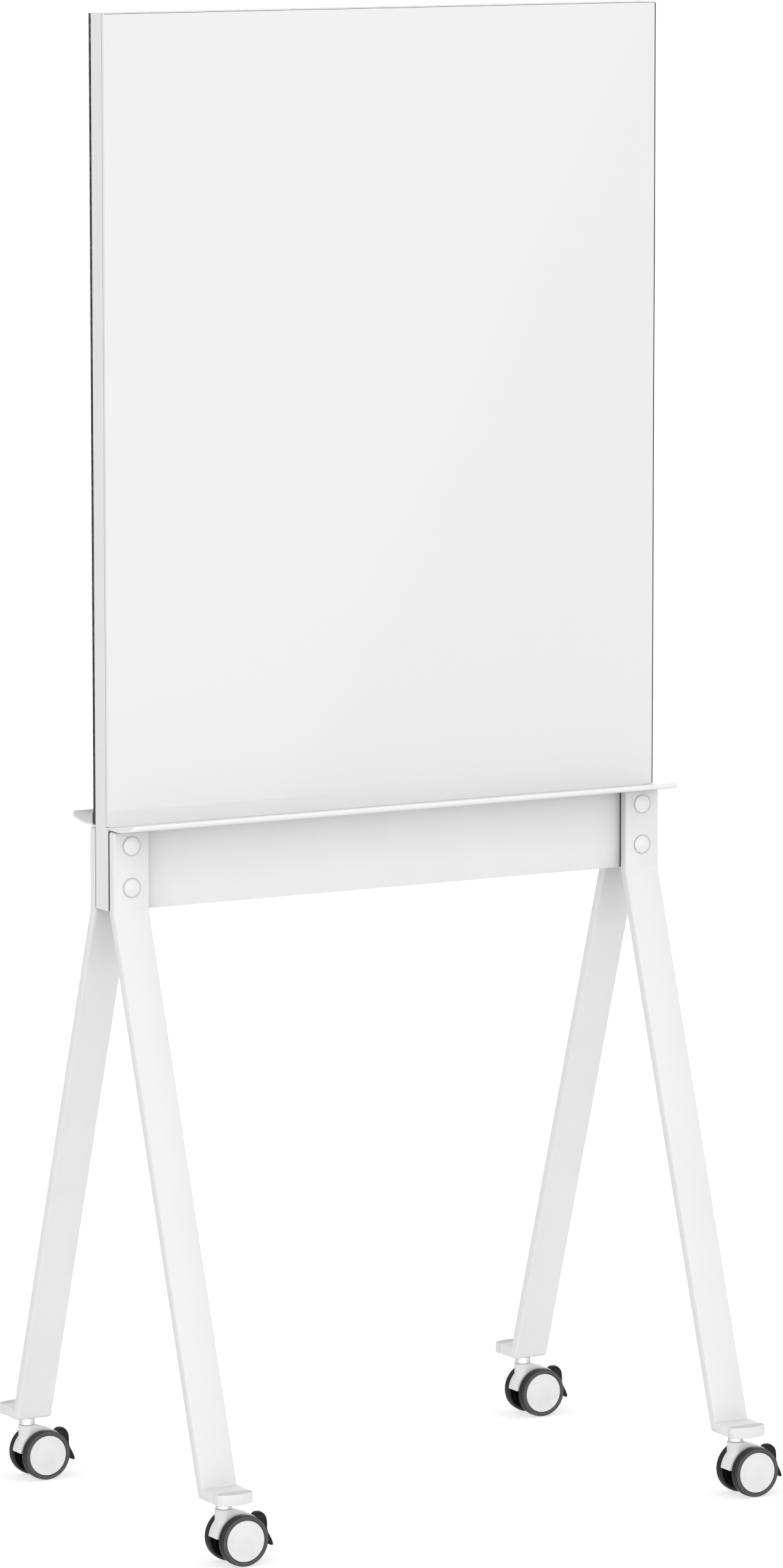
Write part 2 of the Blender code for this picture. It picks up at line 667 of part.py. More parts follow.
def build():
    clear_scene()
    looks = {
        "painted_steel": material("white_painted_steel", (0.86, 0.86, 0.87), 0.45),
        "frame": material("white_frame", (0.80, 0.80, 0.81), 0.5),
        "core": material("core_board", (0.62, 0.60, 0.56), 0.9),
        "glass": material("white_backed_glass", (0.88, 0.88, 0.885), 0.05),
        "felt": material("black_felt", (0.02, 0.02, 0.022), 1.0),
        "rail": material("black_rail", (0.03, 0.03, 0.032), 0.5),
        "tray": material("white_tray", (0.86, 0.86, 0.87), 0.4),
        "gasket": material("grey_gasket", (0.12, 0.12, 0.12), 0.9),
        "white_plastic": material("white_plastic", (0.84, 0.84, 0.85), 0.4),
        "fastener": material("white_dome_fastener", (0.85, 0.85, 0.86), 0.35),
        "steel": material("zinc_plated_steel", (0.75, 0.76, 0.78), 0.25, 1.0),
        "tyre": material("black_tyre", (0.035, 0.035, 0.037), 0.4),
        "black_plastic": material("black_plastic", (0.02, 0.02, 0.021), 0.3),
    }
    bolt_holes = bolt_hole_cutter()
    stem_holes = stem_hole_cutter()
    edge_frame(looks["frame"])
    lower_beam(looks["painted_steel"], bolt_holes)
    core_board(looks["core"])
    glass_panel(looks["glass"])
    felt_panel(looks["felt"])
    felt_rail(looks["rail"])
    tray("front_tray", -1, looks["tray"])
    tray("back_tray", 1, looks["tray"])
    for corner in CORNERS:
        leg(corner, looks["painted_steel"], bolt_holes, stem_holes)
        leg_gasket(corner, looks["gasket"], bolt_holes)
        foot_cap(corner, looks["white_plastic"])
    fasteners(looks["fastener"])
    castors(looks)


build()
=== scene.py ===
"""The looks of the rolling whiteboard: fine surfaces, materials, studio and camera.

Lengths of the pieces are millimetres in the row frame (+Z up, the glass faces -Y); mm() turns
them into metres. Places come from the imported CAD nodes. The studio and the camera are in metres.
"""

import math

import bmesh
import bpy
from mathutils import Matrix, Vector, noise


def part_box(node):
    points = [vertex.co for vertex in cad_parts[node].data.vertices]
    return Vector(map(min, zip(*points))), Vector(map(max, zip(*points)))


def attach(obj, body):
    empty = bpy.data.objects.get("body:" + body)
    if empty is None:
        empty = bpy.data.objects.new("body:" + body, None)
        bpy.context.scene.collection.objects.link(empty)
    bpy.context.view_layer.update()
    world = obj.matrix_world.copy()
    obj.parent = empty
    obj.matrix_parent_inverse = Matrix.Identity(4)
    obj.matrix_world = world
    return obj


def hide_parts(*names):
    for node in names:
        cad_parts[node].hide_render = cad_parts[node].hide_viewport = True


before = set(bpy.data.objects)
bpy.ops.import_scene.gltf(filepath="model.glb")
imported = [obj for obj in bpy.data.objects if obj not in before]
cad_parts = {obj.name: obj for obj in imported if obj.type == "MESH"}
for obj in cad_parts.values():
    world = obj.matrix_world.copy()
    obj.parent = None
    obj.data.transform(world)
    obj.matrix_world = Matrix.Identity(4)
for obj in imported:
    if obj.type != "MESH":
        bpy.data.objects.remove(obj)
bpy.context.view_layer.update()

ROOT = "board_and_stand"
CORNERS = {"front_left": -1, "front_right": -1, "back_left": 1, "back_right": 1}    # side in Y

# The legs' centre line, in (distance from the board's middle plane, height)
LEG_THICKNESS = 14.0
LEG_BEND_HEIGHT = 785.3
FOOT_BEND_REACH = 254.6

# The castors, from the swivel axis and the floor
TRAIL = 18.0                # wheel axis behind the swivel axis
WHEEL_RADIUS = 32.5
WHEEL_INNER = 11.75         # a wheel's inner face, from the castor's middle
WHEEL_OUTER = 24.9
FENDER_OUTER = 33.6
FENDER_INNER = 29.0
FENDER_START = 174          # degrees round the wheel axis
FENDER_END = 46
BODY_HALF = 11.2
DECK = 71.3
COLUMN = 11.0
LEVER_PIVOT = (27.0, 11.0)  # from the wheel axis
NECK_HALF = 7.0
LEVER_HALF = 8.6


def mm(*values):
    return Vector([value / 1000.0 for value in values])


def node_box(node):
    """Lowest and highest corner of a CAD node, in millimetres."""
    low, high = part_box(node)
    return low * 1000.0, high * 1000.0


def node_middle(node):
    low, high = node_box(node)
    return (low + high) / 2


# ---- materials ---------------------------------------------------------------------------
class Look:
    """A material under construction: a Principled shader and short ways to feed it."""

    def __init__(self, name, colour, roughness, metallic=0.0):
        self.material = bpy.data.materials.new(name)
        self.material.use_nodes = True
        self.tree = self.material.node_tree
        self.shader = self.tree.nodes["Principled BSDF"]
        self.colour = colour
        self.put("Base Color", (*colour, 1.0))
        self.put("Roughness", roughness)
        self.put("Metallic", metallic)
        self.coordinates = self.node("ShaderNodeTexCoord").outputs["Object"]
        self.height = None

    def node(self, kind, **settings):
        made = self.tree.nodes.new(kind)
        for key, value in settings.items():
            setattr(made, key, value)
        return made

    def link(self, source, target):
        self.tree.links.new(source, target)

    def put(self, socket, value):
        self.shader.inputs[socket].default_value = value

    def noise(self, scale, detail=2.0, roughness=0.5, stretch=None):
        made = self.node("ShaderNodeTexNoise")
        made.inputs["Scale"].default_value = scale
        made.inputs["Detail"].default_value = detail
        made.inputs["Roughness"].default_value = roughness
        source = self.coordinates
        if stretch is not None:
            mapping = self.node("ShaderNodeMapping")
            mapping.inputs["Scale"].default_value = stretch
            self.link(source, mapping.inputs["Vector"])
            source = mapping.outputs["Vector"]
        self.link(source, made.inputs["Vector"])
        return made.outputs["Fac"]

    def voronoi(self, scale):
        made = self.node("ShaderNodeTexVoronoi")
        made.inputs["Scale"].default_value = scale
        self.link(self.coordinates, made.inputs["Vector"])
        return made.outputs["Distance"]

    def range(self, value, low, high, to_low, to_high):
        made = self.node("ShaderNodeMapRange")
        limits = {"From Min": low, "From Max": high, "To Min": to_low, "To Max": to_high}
        for key, number in limits.items():
            made.inputs[key].default_value = number
        self.link(value, made.inputs["Value"])
        return made.outputs["Result"]

    def mix(self, factor, colour_a, colour_b):
        """Mixes two colours, or sockets, by a factor socket."""
        made = self.node("ShaderNodeMix", data_type="RGBA")
        self.link(factor, made.inputs["Factor"])
        for socket, colour in ((made.inputs["A"], colour_a), (made.inputs["B"], colour_b)):
            self.feed(socket, colour)
        return made.outputs["Result"]

    def feed(self, socket, value):
        if isinstance(value, tuple):
            socket.default_value = (*value, 1.0)
        else:
            self.link(value, socket)

    def math(self, operation, a, b):
        made = self.node("ShaderNodeMath", operation=operation)
        for socket, value in zip(made.inputs, (a, b)):
            if isinstance(value, (int, float)):
                socket.default_value = value
            else:
                self.link(value, socket)
        return made.outputs["Value"]

    def colour_from(self, socket):
        self.link(socket, self.shader.inputs["Base Color"])

    def vary_colour(self, scale, low, high, detail=2.0):
        """The colour times a factor between low and high, in soft clouds."""
        clouds = self.range(self.noise(scale, detail), 0.35, 0.65, 0.0, 1.0)
        dark = tuple(channel * low for channel in self.colour)
        light = tuple(min(1.0, channel * high) for channel in self.colour)
        made = self.mix(clouds, dark, light)
        self.colour_from(made)
        return made

    def shade_corners(self, colour, reach, low):
        """Paints shade into the colour: darkens it, down to a share of it, where other surfaces stand close.
        """
        near = self.node("ShaderNodeAmbientOcclusion", samples=8)
        near.inputs["Distance"].default_value = reach
        self.link(colour, near.inputs["Color"])
        openness = self.range(near.outputs["AO"], 0.15, 0.95, low, 1.0)
        made = self.node("ShaderNodeVectorMath", operation="SCALE")
        self.link(colour, made.inputs["Vector"])
        self.link(openness, made.inputs["Scale"])
        self.colour_from(made.outputs["Vector"])

    def vary_roughness(self, scale, low, high, detail=2.0):
        varied = self.range(self.noise(scale, detail), 0.3, 0.7, low, high)
        self.link(varied, self.shader.inputs["Roughness"])

    def normal(self, axis):
        """One part, X, Y or Z, of the direction that the surface faces, in the object's own frame."""
        split = self.node("ShaderNodeSeparateXYZ")
        self.link(self.node("ShaderNodeTexCoord").outputs["Normal"], split.inputs["Vector"])
        return split.outputs[axis]

    def bump(self, value, distance, strength=1.0):
        """Adds a height field; several stack up. Distance in metres."""
        made = self.node("ShaderNodeBump")
        made.inputs["Distance"].default_value = distance
        made.inputs["Strength"].default_value = strength
        self.link(value, made.inputs["Height"])
        if self.height is not None:
            self.link(self.height, made.inputs["Normal"])
        self.height = made.outputs["Normal"]
        self.link(self.height, self.shader.inputs["Normal"])


def powder_coat(name, colour, roughness=0.46, reach=0.09, low=0.62):
    """White powder coat: fine orange peel, faint clouds in tone and gloss, and painted shade in the corners.
    """
    look = Look(name, colour, roughness)
    # Painted shade: the colour darkens where other surfaces stand within reach.
    look.shade_corners(look.vary_colour(14.0, 0.988, 1.006), reach, low)
    look.vary_roughness(60.0, roughness - 0.05, roughness + 0.06)
    look.bump(look.noise(420.0, 2.0), 0.00012, 0.35)
    look.bump(look.noise(1700.0, 1.0), 0.00004, 0.35)
    return look.material


def back_painted_glass():
    """Clear glass over white paint: a glossy face, and edges with a faint tint of glass."""
    look = Look("back_painted_glass", (0.793, 0.793, 0.796), 0.06)
    look.put("IOR", 1.52)
    facing = look.math("ABSOLUTE", look.normal("Y"), 0.0)
    on_face = look.range(facing, 0.35, 0.75, 0.0, 1.0)
    face = look.vary_colour(3.0, 0.998, 1.002)
    look.colour_from(look.mix(on_face, (0.78, 0.79, 0.785), face))
    look.vary_roughness(38.0, 0.045, 0.085, 3.0)
    look.bump(look.noise(2.2, 0.0), 0.0006, 0.05)
    return look.material


def pin_felt():
    """Dense black felt: tangled fibres, paler flecks and a soft sheen."""
    look = Look("pin_felt", (0.020, 0.020, 0.022), 0.95)
    look.put("Sheen Weight", 0.12)
    look.put("Sheen Roughness", 0.45)
    look.put("Specular IOR Level", 0.15)
    fibres = look.noise(900.0, 5.0, 0.75)
    flecks = look.noise(170.0, 3.0, 0.7)
    clouds = look.noise(85.0, 3.0, 0.6)
    dark, mid, pale = (0.013, 0.013, 0.014), (0.060, 0.060, 0.062), (0.20, 0.20, 0.205)
    base = look.mix(look.range(fibres, 0.38, 0.66, 0.0, 1.0), dark, mid)
    flecked = look.mix(look.range(flecks, 0.50, 0.66, 0.0, 0.85), base, pale)
    cloudy = look.mix(look.range(clouds, 0.42, 0.66, 0.0, 0.55), flecked, (0.012, 0.012, 0.013))
    look.colour_from(cloudy)
    look.bump(fibres, 0.0009, 0.9)
    look.bump(look.noise(130.0, 2.0), 0.0007, 0.5)
    return look.material


def moulded(name, colour, roughness, specular=0.5):
    """Injection-moulded plastic: faint flow clouds and a fine spark-eroded grain."""
    spread = 0.05
    look = Look(name, colour, roughness)
    look.put("Specular IOR Level", specular)
    look.vary_colour(45.0, 0.97, 1.03)
    look.vary_roughness(220.0, roughness - spread, roughness + spread)
    look.bump(look.noise(2600.0, 1.0), 0.00006, 0.5)
    look.bump(look.noise(160.0, 0.0), 0.00010, 0.12)
    return look.material


def cap_moulding():
    """White plastic with a coarse grain on its upper side, which is also painted darker as shade."""
    look = Look("foot_cap_moulding", (0.785, 0.785, 0.788), 0.42)
    top_shade_and_grain = look.range(look.normal("Z"), 0.75, 0.97, 0.0, 1.0)
    clouds = look.vary_colour(45.0, 0.98, 1.02)
    # Painted shade: the upper side's colour is darkened to grey.
    look.colour_from(look.mix(top_shade_and_grain, clouds, (0.64, 0.64, 0.645)))
    look.link(look.range(top_shade_and_grain, 0.0, 1.0, 0.42, 0.85), look.shader.inputs["Roughness"])
    look.bump(look.math("MULTIPLY", top_shade_and_grain, look.noise(2200.0, 2.0)), 0.0001, 0.8)
    look.bump(look.noise(2600.0, 1.0), 0.00006, 0.5)
    return look.material


def tread_rubber():
    """Soft polyurethane: a black tread and a greyer face ring, with fine dust and grain. The inner side takes
    the tread's black as painted shade between the wheels.
    """
    look = Look("tread_rubber", (0.046, 0.046, 0.048), 0.3)
    look.put("Specular IOR Level", 0.27)
    dust = look.range(look.noise(420.0, 4.0, 0.7), 0.48, 0.75, 0.0, 1.0)
    ring = look.mix(dust, (0.072, 0.072, 0.074), (0.094, 0.094, 0.096))
    tread = look.mix(dust, (0.004, 0.004, 0.004), (0.012, 0.012, 0.013))
    # Painted shade: faces other than the outer face ring, the inner side too, get the black of the tread.
    on_ring = look.range(look.normal("Y"), 0.6, 0.85, 0.0, 1.0)
    look.colour_from(look.mix(on_ring, tread, ring))
    look.vary_roughness(300.0, 0.16, 0.28, 3.0)
    look.bump(look.noise(1900.0, 2.0), 0.00008, 0.5)
    return look.material


def plated_steel():
    """Zinc plating with fine lines round the upright axis, as turning leaves them."""
    look = Look("plated_steel", (0.88, 0.88, 0.885), 0.45, 1.0)
    look.vary_colour(260.0, 0.97, 1.02)
    look.vary_roughness(500.0, 0.40, 0.52, 3.0)
    look.bump(look.noise(1200.0, 2.0, 0.5, (0.05, 0.05, 1.0)), 0.00004, 0.6)
    return look.material


def fibreboard():
    """Raw board of pressed chips, for the hidden core."""
    look = Look("fibreboard", (0.62, 0.60, 0.56), 0.9)
    chips = look.noise(300.0, 5.0, 0.8, (1.0, 3.0, 1.0))
    spread = look.range(chips, 0.3, 0.7, 0.0, 1.0)
    look.colour_from(look.mix(spread, (0.42, 0.36, 0.28), (0.70, 0.66, 0.58)))
    look.bump(chips, 0.0006, 0.7)
    return look.material


def foam_gasket():
    """Black closed-cell foam."""
    look = Look("foam_gasket", (0.035, 0.035, 0.036), 0.95)
    cells = look.voronoi(1400.0)
    walls = look.range(cells, 0.0, 0.6, 0.0, 1.0)
    look.colour_from(look.mix(walls, (0.012, 0.012, 0.013), (0.05, 0.05, 0.052)))
    look.bump(cells, 0.0003, 0.8)
    return look.material


# ---- mesh helpers ------------------------------------------------------------------------
def shade(mesh, angle=32.0):
    mesh.shade_smooth()
    mesh.set_sharp_from_angle(angle=math.radians(angle))


def to_mesh(shape, name, angle=32.0):
    bmesh.ops.recalc_face_normals(shape, faces=shape.faces)
    mesh = bpy.data.meshes.new(name)
    shape.to_mesh(mesh)
    shape.free()
    shade(mesh, angle)
    return mesh


def loose(name, mesh):
    made = bpy.data.objects.new(name, mesh)
    bpy.context.scene.collection.objects.link(made)
    return made


def bevel(target, width, segments=3, angle=40.0):
    made = target.modifiers.new("soft_edges", "BEVEL")
    made.width = width / 1000.0
    made.segments = segments
    made.limit_method = "ANGLE"
    made.angle_limit = math.radians(angle)
    made.use_clamp_overlap = True


def weighted(target):
    made = target.modifiers.new("flat_faces", "WEIGHTED_NORMAL")
    made.keep_sharp = True
    made.weight = 90


def boolean(target, mesh, operation):
    """Applies one boolean with a throwaway cutter."""
    cutter = loose("cutter", mesh)
    made = target.modifiers.new("boolean", "BOOLEAN")
    made.operation = operation
    made.solver = "EXACT"
    made.object = cutter
    target.data = applied(target)
    target.modifiers.clear()
    bpy.data.objects.remove(cutter, do_unlink=True)


def applied(target):
    """The target's mesh with its modifiers applied."""
    bpy.context.view_layer.update()
    evaluated = target.evaluated_get(bpy.context.evaluated_depsgraph_get())
    return bpy.data.meshes.new_from_object(evaluated)


def finished(target, name, angle=32.0):
    """Applies the modifiers and gives back the bare mesh; the object goes."""
    mesh = applied(target)
    mesh.name = name
    bpy.data.objects.remove(target, do_unlink=True)
    shade(mesh, angle)
    return mesh


def arc(centre, radius, start, end, steps):
    angles = [math.radians(start + (end - start) * i / steps) for i in range(steps + 1)]
    return [(centre[0] + radius * math.cos(t), centre[1] + radius * math.sin(t)) for t in angles]


def rectangle(a0, a1, b0, b1):
    return [(a0, b0), (a1, b0), (a1, b1), (a0, b1)]


def smooth_through(points, steps):
    """A Catmull-Rom curve through open points, with that many steps in each span."""
    out = []
    last = len(points) - 1
    for i in range(last):
        p0 = Vector(points[max(i - 1, 0)])
        p1 = Vector(points[i])
        p2 = Vector(points[i + 1])
        p3 = Vector(points[min(i + 2, last)])
        for j in range(steps):
            t = j / steps
            spot = 0.5 * (2 * p1 + (p2 - p0) * t + (2 * p0 - 5 * p1 + 4 * p2 - p3) * t * t
                          + (3 * p1 - p0 - 3 * p2 + p3) * t ** 3)
            out.append((spot.x, spot.y))
    return out + [tuple(points[last])]


def add_prism(shape, outline, low, high, axis="Y"):
    """Adds an outline extruded from low to high: (x, z) along Y, (y, z) along X, (x, y) along Z."""
    turn = {
        "Y": lambda a, b, depth: mm(a, depth, b),
        "X": lambda a, b, depth: mm(depth, a, b),
        "Z": lambda a, b, depth: mm(a, b, depth),
    }[axis]
    face = shape.faces.new([shape.verts.new(turn(a, b, low)) for a, b in outline])
    step = turn(0, 0, high) - turn(0, 0, low)
    grown = bmesh.ops.extrude_face_region(shape, geom=[face])
    moved = [part for part in grown["geom"] if isinstance(part, bmesh.types.BMVert)]
    bmesh.ops.translate(shape, verts=moved, vec=step)


def prism(name, outline, low, high, axis="Y"):
    shape = bmesh.new()
    add_prism(shape, outline, low, high, axis)
    return to_mesh(shape, name)


def rod(radius, low, high, at, axis="Y", steps=48):
    return prism("rod", arc(at, radius, 0, 360 - 360 / steps, steps - 1), low, high, axis)


def turned(name, profile, axis="Z", steps=96, angle=32.0):
    """A closed profile of (radius, height) spun about an axis; radius 0 closes on the axis."""
    shape = bmesh.new()
    rings = []
    for radius, height in profile:
        if radius == 0.0:
            rings.append([shape.verts.new(mm(0, 0, height))])
            continue
        ring = []
        for i in range(steps):
            t = 2 * math.pi * i / steps
            ring.append(shape.verts.new(mm(radius * math.cos(t), radius * math.sin(t), height)))
        rings.append(ring)
    pairs = list(zip(rings, rings[1:]))
    if profile[0][0] and profile[-1][0]:
        pairs.append((rings[-1], rings[0]))
    for low, high in pairs:
        for i in range(steps):
            after = i + 1
            corners = (low[i % len(low)], low[after % len(low)],
                       high[after % len(high)], high[i % len(high)])
            unique = list(dict.fromkeys(corners))
            if len(unique) > 2:
                shape.faces.new(unique)
    if axis == "Y":
        over = Matrix.Rotation(math.radians(-90), 3, "X")
        bmesh.ops.rotate(shape, verts=shape.verts, matrix=over)
    return to_mesh(shape, name, angle)


def rounded(points, radius, steps=4):
    """A profile of (radius, height) whose corners are rounded; the first and last points stay."""
    out = [points[0]]
    for before, spot, after in zip(points, points[1:], points[2:]):
        p, a, b = Vector(spot), Vector(before), Vector(after)
        reach = min(radius, (a - p).length * 0.45, (b - p).length * 0.45)
        start = p + (a - p).normalized() * reach
        end = p + (b - p).normalized() * reach
        for j in range(steps + 1):
            t = j / steps
            curve = start * (1 - t) ** 2 + p * 2 * t * (1 - t) + end * t * t
            out.append((curve.x, curve.y))
    return out + [points[-1]]


# ---- pieces ------------------------------------------------------------------------------
def dress(node, look, width=0.0, segments=2, angle=40.0):
    """A CAD node that stays: a material, and softened edges where a width is given."""
    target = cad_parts[node]
    target.data.materials.clear()
    target.data.materials.append(look)
    weld = target.modifiers.new("weld", "WELD")
    weld.merge_threshold = 0.00001
    if width:
        bevel(target, width, segments, angle)
    smooth = [True] * len(target.data.polygons)
    target.data.polygons.foreach_set("use_smooth", smooth)
    weighted(target)


def piece(name, mesh, look, body, node, origin=(0.0, 0.0, 0.0), rotation=None):
    """A new piece that rides on a body and, where node is given, stands for that CAD node."""
    made = loose(name, mesh)
    if not mesh.materials:
        mesh.materials.append(look)
    made.location = mm(*origin)
    if rotation is not None:
        made.rotation_euler = rotation
    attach(made, body)
    if node:
        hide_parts(node)


def board(looks):
    dress("edge_frame", looks["coat"], 0.5)
    beam(looks)
    dress("core_board", looks["core"])
    dress("glass_panel", looks["glass"], 0.35, 3)
    dress("felt_rail", looks["rail"])
    glass_edge_shade_and_film(looks)
    felt(looks)


def glass_edge_shade_and_film(looks):
    """A black strip along the glass's top and right edges, painted shade and dark reflection: it stands for
    how dark these edges look from the front left. Also a black film behind the glass.
    """
    low, high = node_box("glass_panel")
    right_width = 1.45
    top_width = 0.5
    radius = 2.8
    right = high.x + 0.42
    top = high.z + 0.02
    foot = low.z + 1.0
    start = low.x + 1.5
    middle = (right - radius, top - radius)
    outer_round = arc(middle, radius, 90, 0, 8)
    inner_round = [(middle[0] + (radius - right_width) * a, middle[1] + (radius - top_width) * b)
                   for a, b in arc((0, 0), 1.0, 0, 90, 8)]
    outline = ([(start, top)] + outer_round + [(right, foot), (right - right_width, foot)]
               + inner_round + [(start, top - top_width)])
    edge_shade_and_film = bmesh.new()
    # Painted shade and dark reflection: the strip lies only where the edges look dark from the front left.
    add_prism(edge_shade_and_film, outline, low.y - 0.04, low.y + 1.0)
    film = rectangle(low.x + 0.02, high.x - 0.1, low.z + 4.0, high.z - 0.4)
    add_prism(edge_shade_and_film, film, high.y + 0.02, high.y + 0.28)
    piece("glass_edge_painted_shade_and_film", to_mesh(edge_shade_and_film, "glass_edge_shade_and_film"), looks["edge_shade_and_film"], ROOT, None)


def beam(looks):
    """The plate between the legs, with soft edges and clean bores for the bolts."""
    bore = 5.3
    low, high = node_box("lower_beam")
    outline = rectangle(low.y, high.y, low.z, high.z)
    blank = loose("beam_blank", prism("beam", outline, low.x, high.x, "X"))
    bevel(blank, 0.5, 3)
    for word in ("left", "right"):
        for level in ("lower", "upper"):
            spot = node_middle(f"{word}_{level}_bolt")
            boolean(blank, rod(bore, -30, 30, (spot.x, spot.z), "Y", 32), "DIFFERENCE")
    mesh = finished(blank, "beam")
    piece("lower_cross_beam", mesh, looks["coat"], ROOT, "lower_beam")


def felt(looks):
    """The felt: a slab with a fuzzy rim and rounded arrises, whose nap stands proud."""
    low, high = node_box("felt_panel")
    nap = 0.8
    fuzz = 0.12
    pulled_in = 0.13
    back_pulled_in = 0.3
    spacing = 3.0
    corners = [(low.x, low.z), (high.x, low.z), (high.x, high.z), (low.x, high.z)]
    rim = []
    for i, start in enumerate(corners):
        end = corners[(i + 1) % 4]
        length = abs(end[0] - start[0]) + abs(end[1] - start[1])
        count = int(length / spacing)
        for j in range(count):
            t = j / count
            rim.append((start[0] + (end[0] - start[0]) * t, start[1] + (end[1] - start[1]) * t))
    middle = (low + high) / 2
    half = (high - low) / 2
    # (share of the thickness, inset of the rim there)
    depths = [(0.0, 0.25), (0.05, 0.0), (0.5, 0.0), (0.86, 0.02), (0.96, 0.18), (1.0, 0.55)]
    shape = bmesh.new()
    rings = []
    for depth, inset in depths:
        y = low.y + (high.y - low.y + nap) * depth
        ring = []
        for x, z in rim:
            wobble = noise.noise(Vector((x * 0.21, y * 0.9, z * 0.21))) * fuzz
            pull = inset + pulled_in + wobble if depth < 1.0 else inset + back_pulled_in
            ring.append(shape.verts.new(mm(
                middle.x + (x - middle.x) * (1 - pull / half.x),
                y, middle.z + (z - middle.z) * (1 - pull / half.z))))
        rings.append(ring)
    count = len(rim)
    for a, b in zip(rings, rings[1:]):
        for i in range(count):
            shape.faces.new([a[i], a[(i + 1) % count], b[(i + 1) % count], b[i]])
    shape.faces.new(rings[0])
    shape.faces.new(rings[-1])
    mesh = to_mesh(shape, "felt_sheet", 50.0)
    piece("felt_sheet", mesh, looks["felt"], ROOT, "felt_panel")


def tray_section(under, plate, reach):
    """A tray's curve, out along its underside, round the lip and back along its floor.

    Points are (distance from the board's middle plane, height).
    """
    curve = [(48.0, under), (58.0, under + 1.2), (68.0, under + 2.9), (76.0, under + 4.4),
             (81.5, under + 5.9), (reach - 0.8, under + 7.6), (reach, under + 9.6),
             (reach - 0.4, under + 11.2), (reach - 1.8, under + 12.0), (reach - 3.4, under + 11.8),
             (reach - 4.4, under + 10.7), (reach - 5.4, under + 8.8), (76.0, under + 7.0),
             (68.0, under + 5.3), (58.0, under + 3.6), (48.0, under + plate)]
    return smooth_through(curve, 5)


def tray(node, side, looks):
    """A pen tray along one side of the board: side is -1 at the front and 1 at the back."""
    low, high = node_box(node)
    glass_low, glass_high = node_box("glass_panel")
    rail_high = node_box("felt_rail")[1].y
    under = low.z
    reach = max(abs(low.y), abs(high.y))
    plate = 2.65
    root = 1.0
    gap = 0.3
    stile = 12.0
    face = (-glass_low.y if side < 0 else rail_high) + gap
    middle = (glass_low.x + glass_high.x) / 2
    half = (glass_high.x - glass_low.x) / 2
    section = [(root, under)] + tray_section(under, plate, reach) + [(root, under + plate)]
    outline = [(side * along, height) for along, height in section]
    body = loose(node, prism(node, outline, middle - half, middle + half, "X"))
    corner = 10.0
    tongue = half - stile - 2 * gap
    inner = reach + 0.02 - corner
    plan = ([(-tongue, 0.0), (tongue, 0.0), (tongue, face), (half + 1, face), (half + 1, inner - 3)]
            + arc((half - corner, inner), corner, 0, 90, 16)
            + arc((-half + corner, inner), corner, 90, 180, 16)
            + [(-half - 1, inner - 3), (-half - 1, face), (-tongue, face)])
    plan = [(middle + x, side * along) for x, along in plan]
    boolean(body, prism("plan", plan, under - 5, under + 25, "Z"), "INTERSECT")
    bevel(body, 0.45, 2, 50.0)
    name = "pen_" + node
    piece(name, finished(body, name), looks["tray"], ROOT, node)


def leg(corner, looks):
    """A flat bar bent twice, with every edge and both bends softened."""
    side = CORNERS[corner]
    low, high = node_box(corner + "_leg")
    middle = (low.x + high.x) / 2
    half = (high.x - low.x) / 2
    thick = LEG_THICKNESS / 2
    plane = min(abs(low.y), abs(high.y)) + thick
    foot = low.z + thick
    end = max(abs(low.y), abs(high.y))
    path = [Vector((plane, high.z)), Vector((plane, LEG_BEND_HEIGHT)),
            Vector((FOOT_BEND_REACH, foot)), Vector((end, foot))]
    shape = bmesh.new()
    rings = []
    for i, point in enumerate(path):
        before = (path[i] - path[i - 1]).normalized() if i else (path[1] - path[0]).normalized()
        after = (path[i + 1] - path[i]).normalized() if i + 1 < len(path) else before
        normal_before = Vector((-before.y, before.x))
        normal_after = Vector((-after.y, after.x))
        mitre = (normal_before + normal_after) / (1 + normal_before.dot(normal_after))
        ring = []
        for x, depth in rectangle(-half, half, -thick, thick):
            spot = point + mitre * depth
            ring.append(shape.verts.new(mm(middle + x, side * spot.x, spot.y)))
        rings.append(ring)
    for a, b in zip(rings, rings[1:]):
        for i in range(4):
            shape.faces.new([a[i], a[(i + 1) % 4], b[(i + 1) % 4], b[i]])
    shape.faces.new(rings[0])
    shape.faces.new(rings[-1])
    blank = loose("leg_blank", to_mesh(shape, "leg"))
    bevel(blank, 2.6, 4, 12.0)
    weighted(blank)
    name = corner + "_bent_leg"
    piece(name, finished(blank, name, 60.0), looks["coat"], ROOT, corner + "_leg")


def foot_cap(corner, looks):
    """The moulded end of a foot: round corners, and a front that bows outwards."""
    side = CORNERS[corner]
    low, high = node_box(corner + "_foot_cap")
    middle = (low.x + high.x) / 2
    half = (high.x - low.x) / 2
    start = min(abs(low.y), abs(high.y))
    end = max(abs(low.y), abs(high.y))
    bow = 4.0
    radius = 7.5
    straight = half - radius
    bow_radius = straight ** 2 / (2 * bow) + bow / 2
    spread = 0.9 * math.degrees(math.asin(straight / bow_radius))
    along = end - bow - radius
    plan = [(-half, start), (half, start), (half, along)]
    plan += arc((straight, along), radius, 8, 72, 8)
    plan += arc((0, end - bow_radius), bow_radius, 90 - spread, 90 + spread, 20)
    plan += arc((-straight, along), radius, 108, 172, 8)
    plan += [(-half, along)]
    plan = [(middle + x, side * y) for x, y in plan]
    blank = loose("cap_blank", prism("cap", plan, low.z, high.z, "Z"))
    bevel(blank, 1.3, 4, 50.0)
    weighted(blank)
    name = corner + "_end_cap"
    mesh = finished(blank, name, 50.0)
    piece(name, mesh, looks["cap"], ROOT, corner + "_foot_cap")


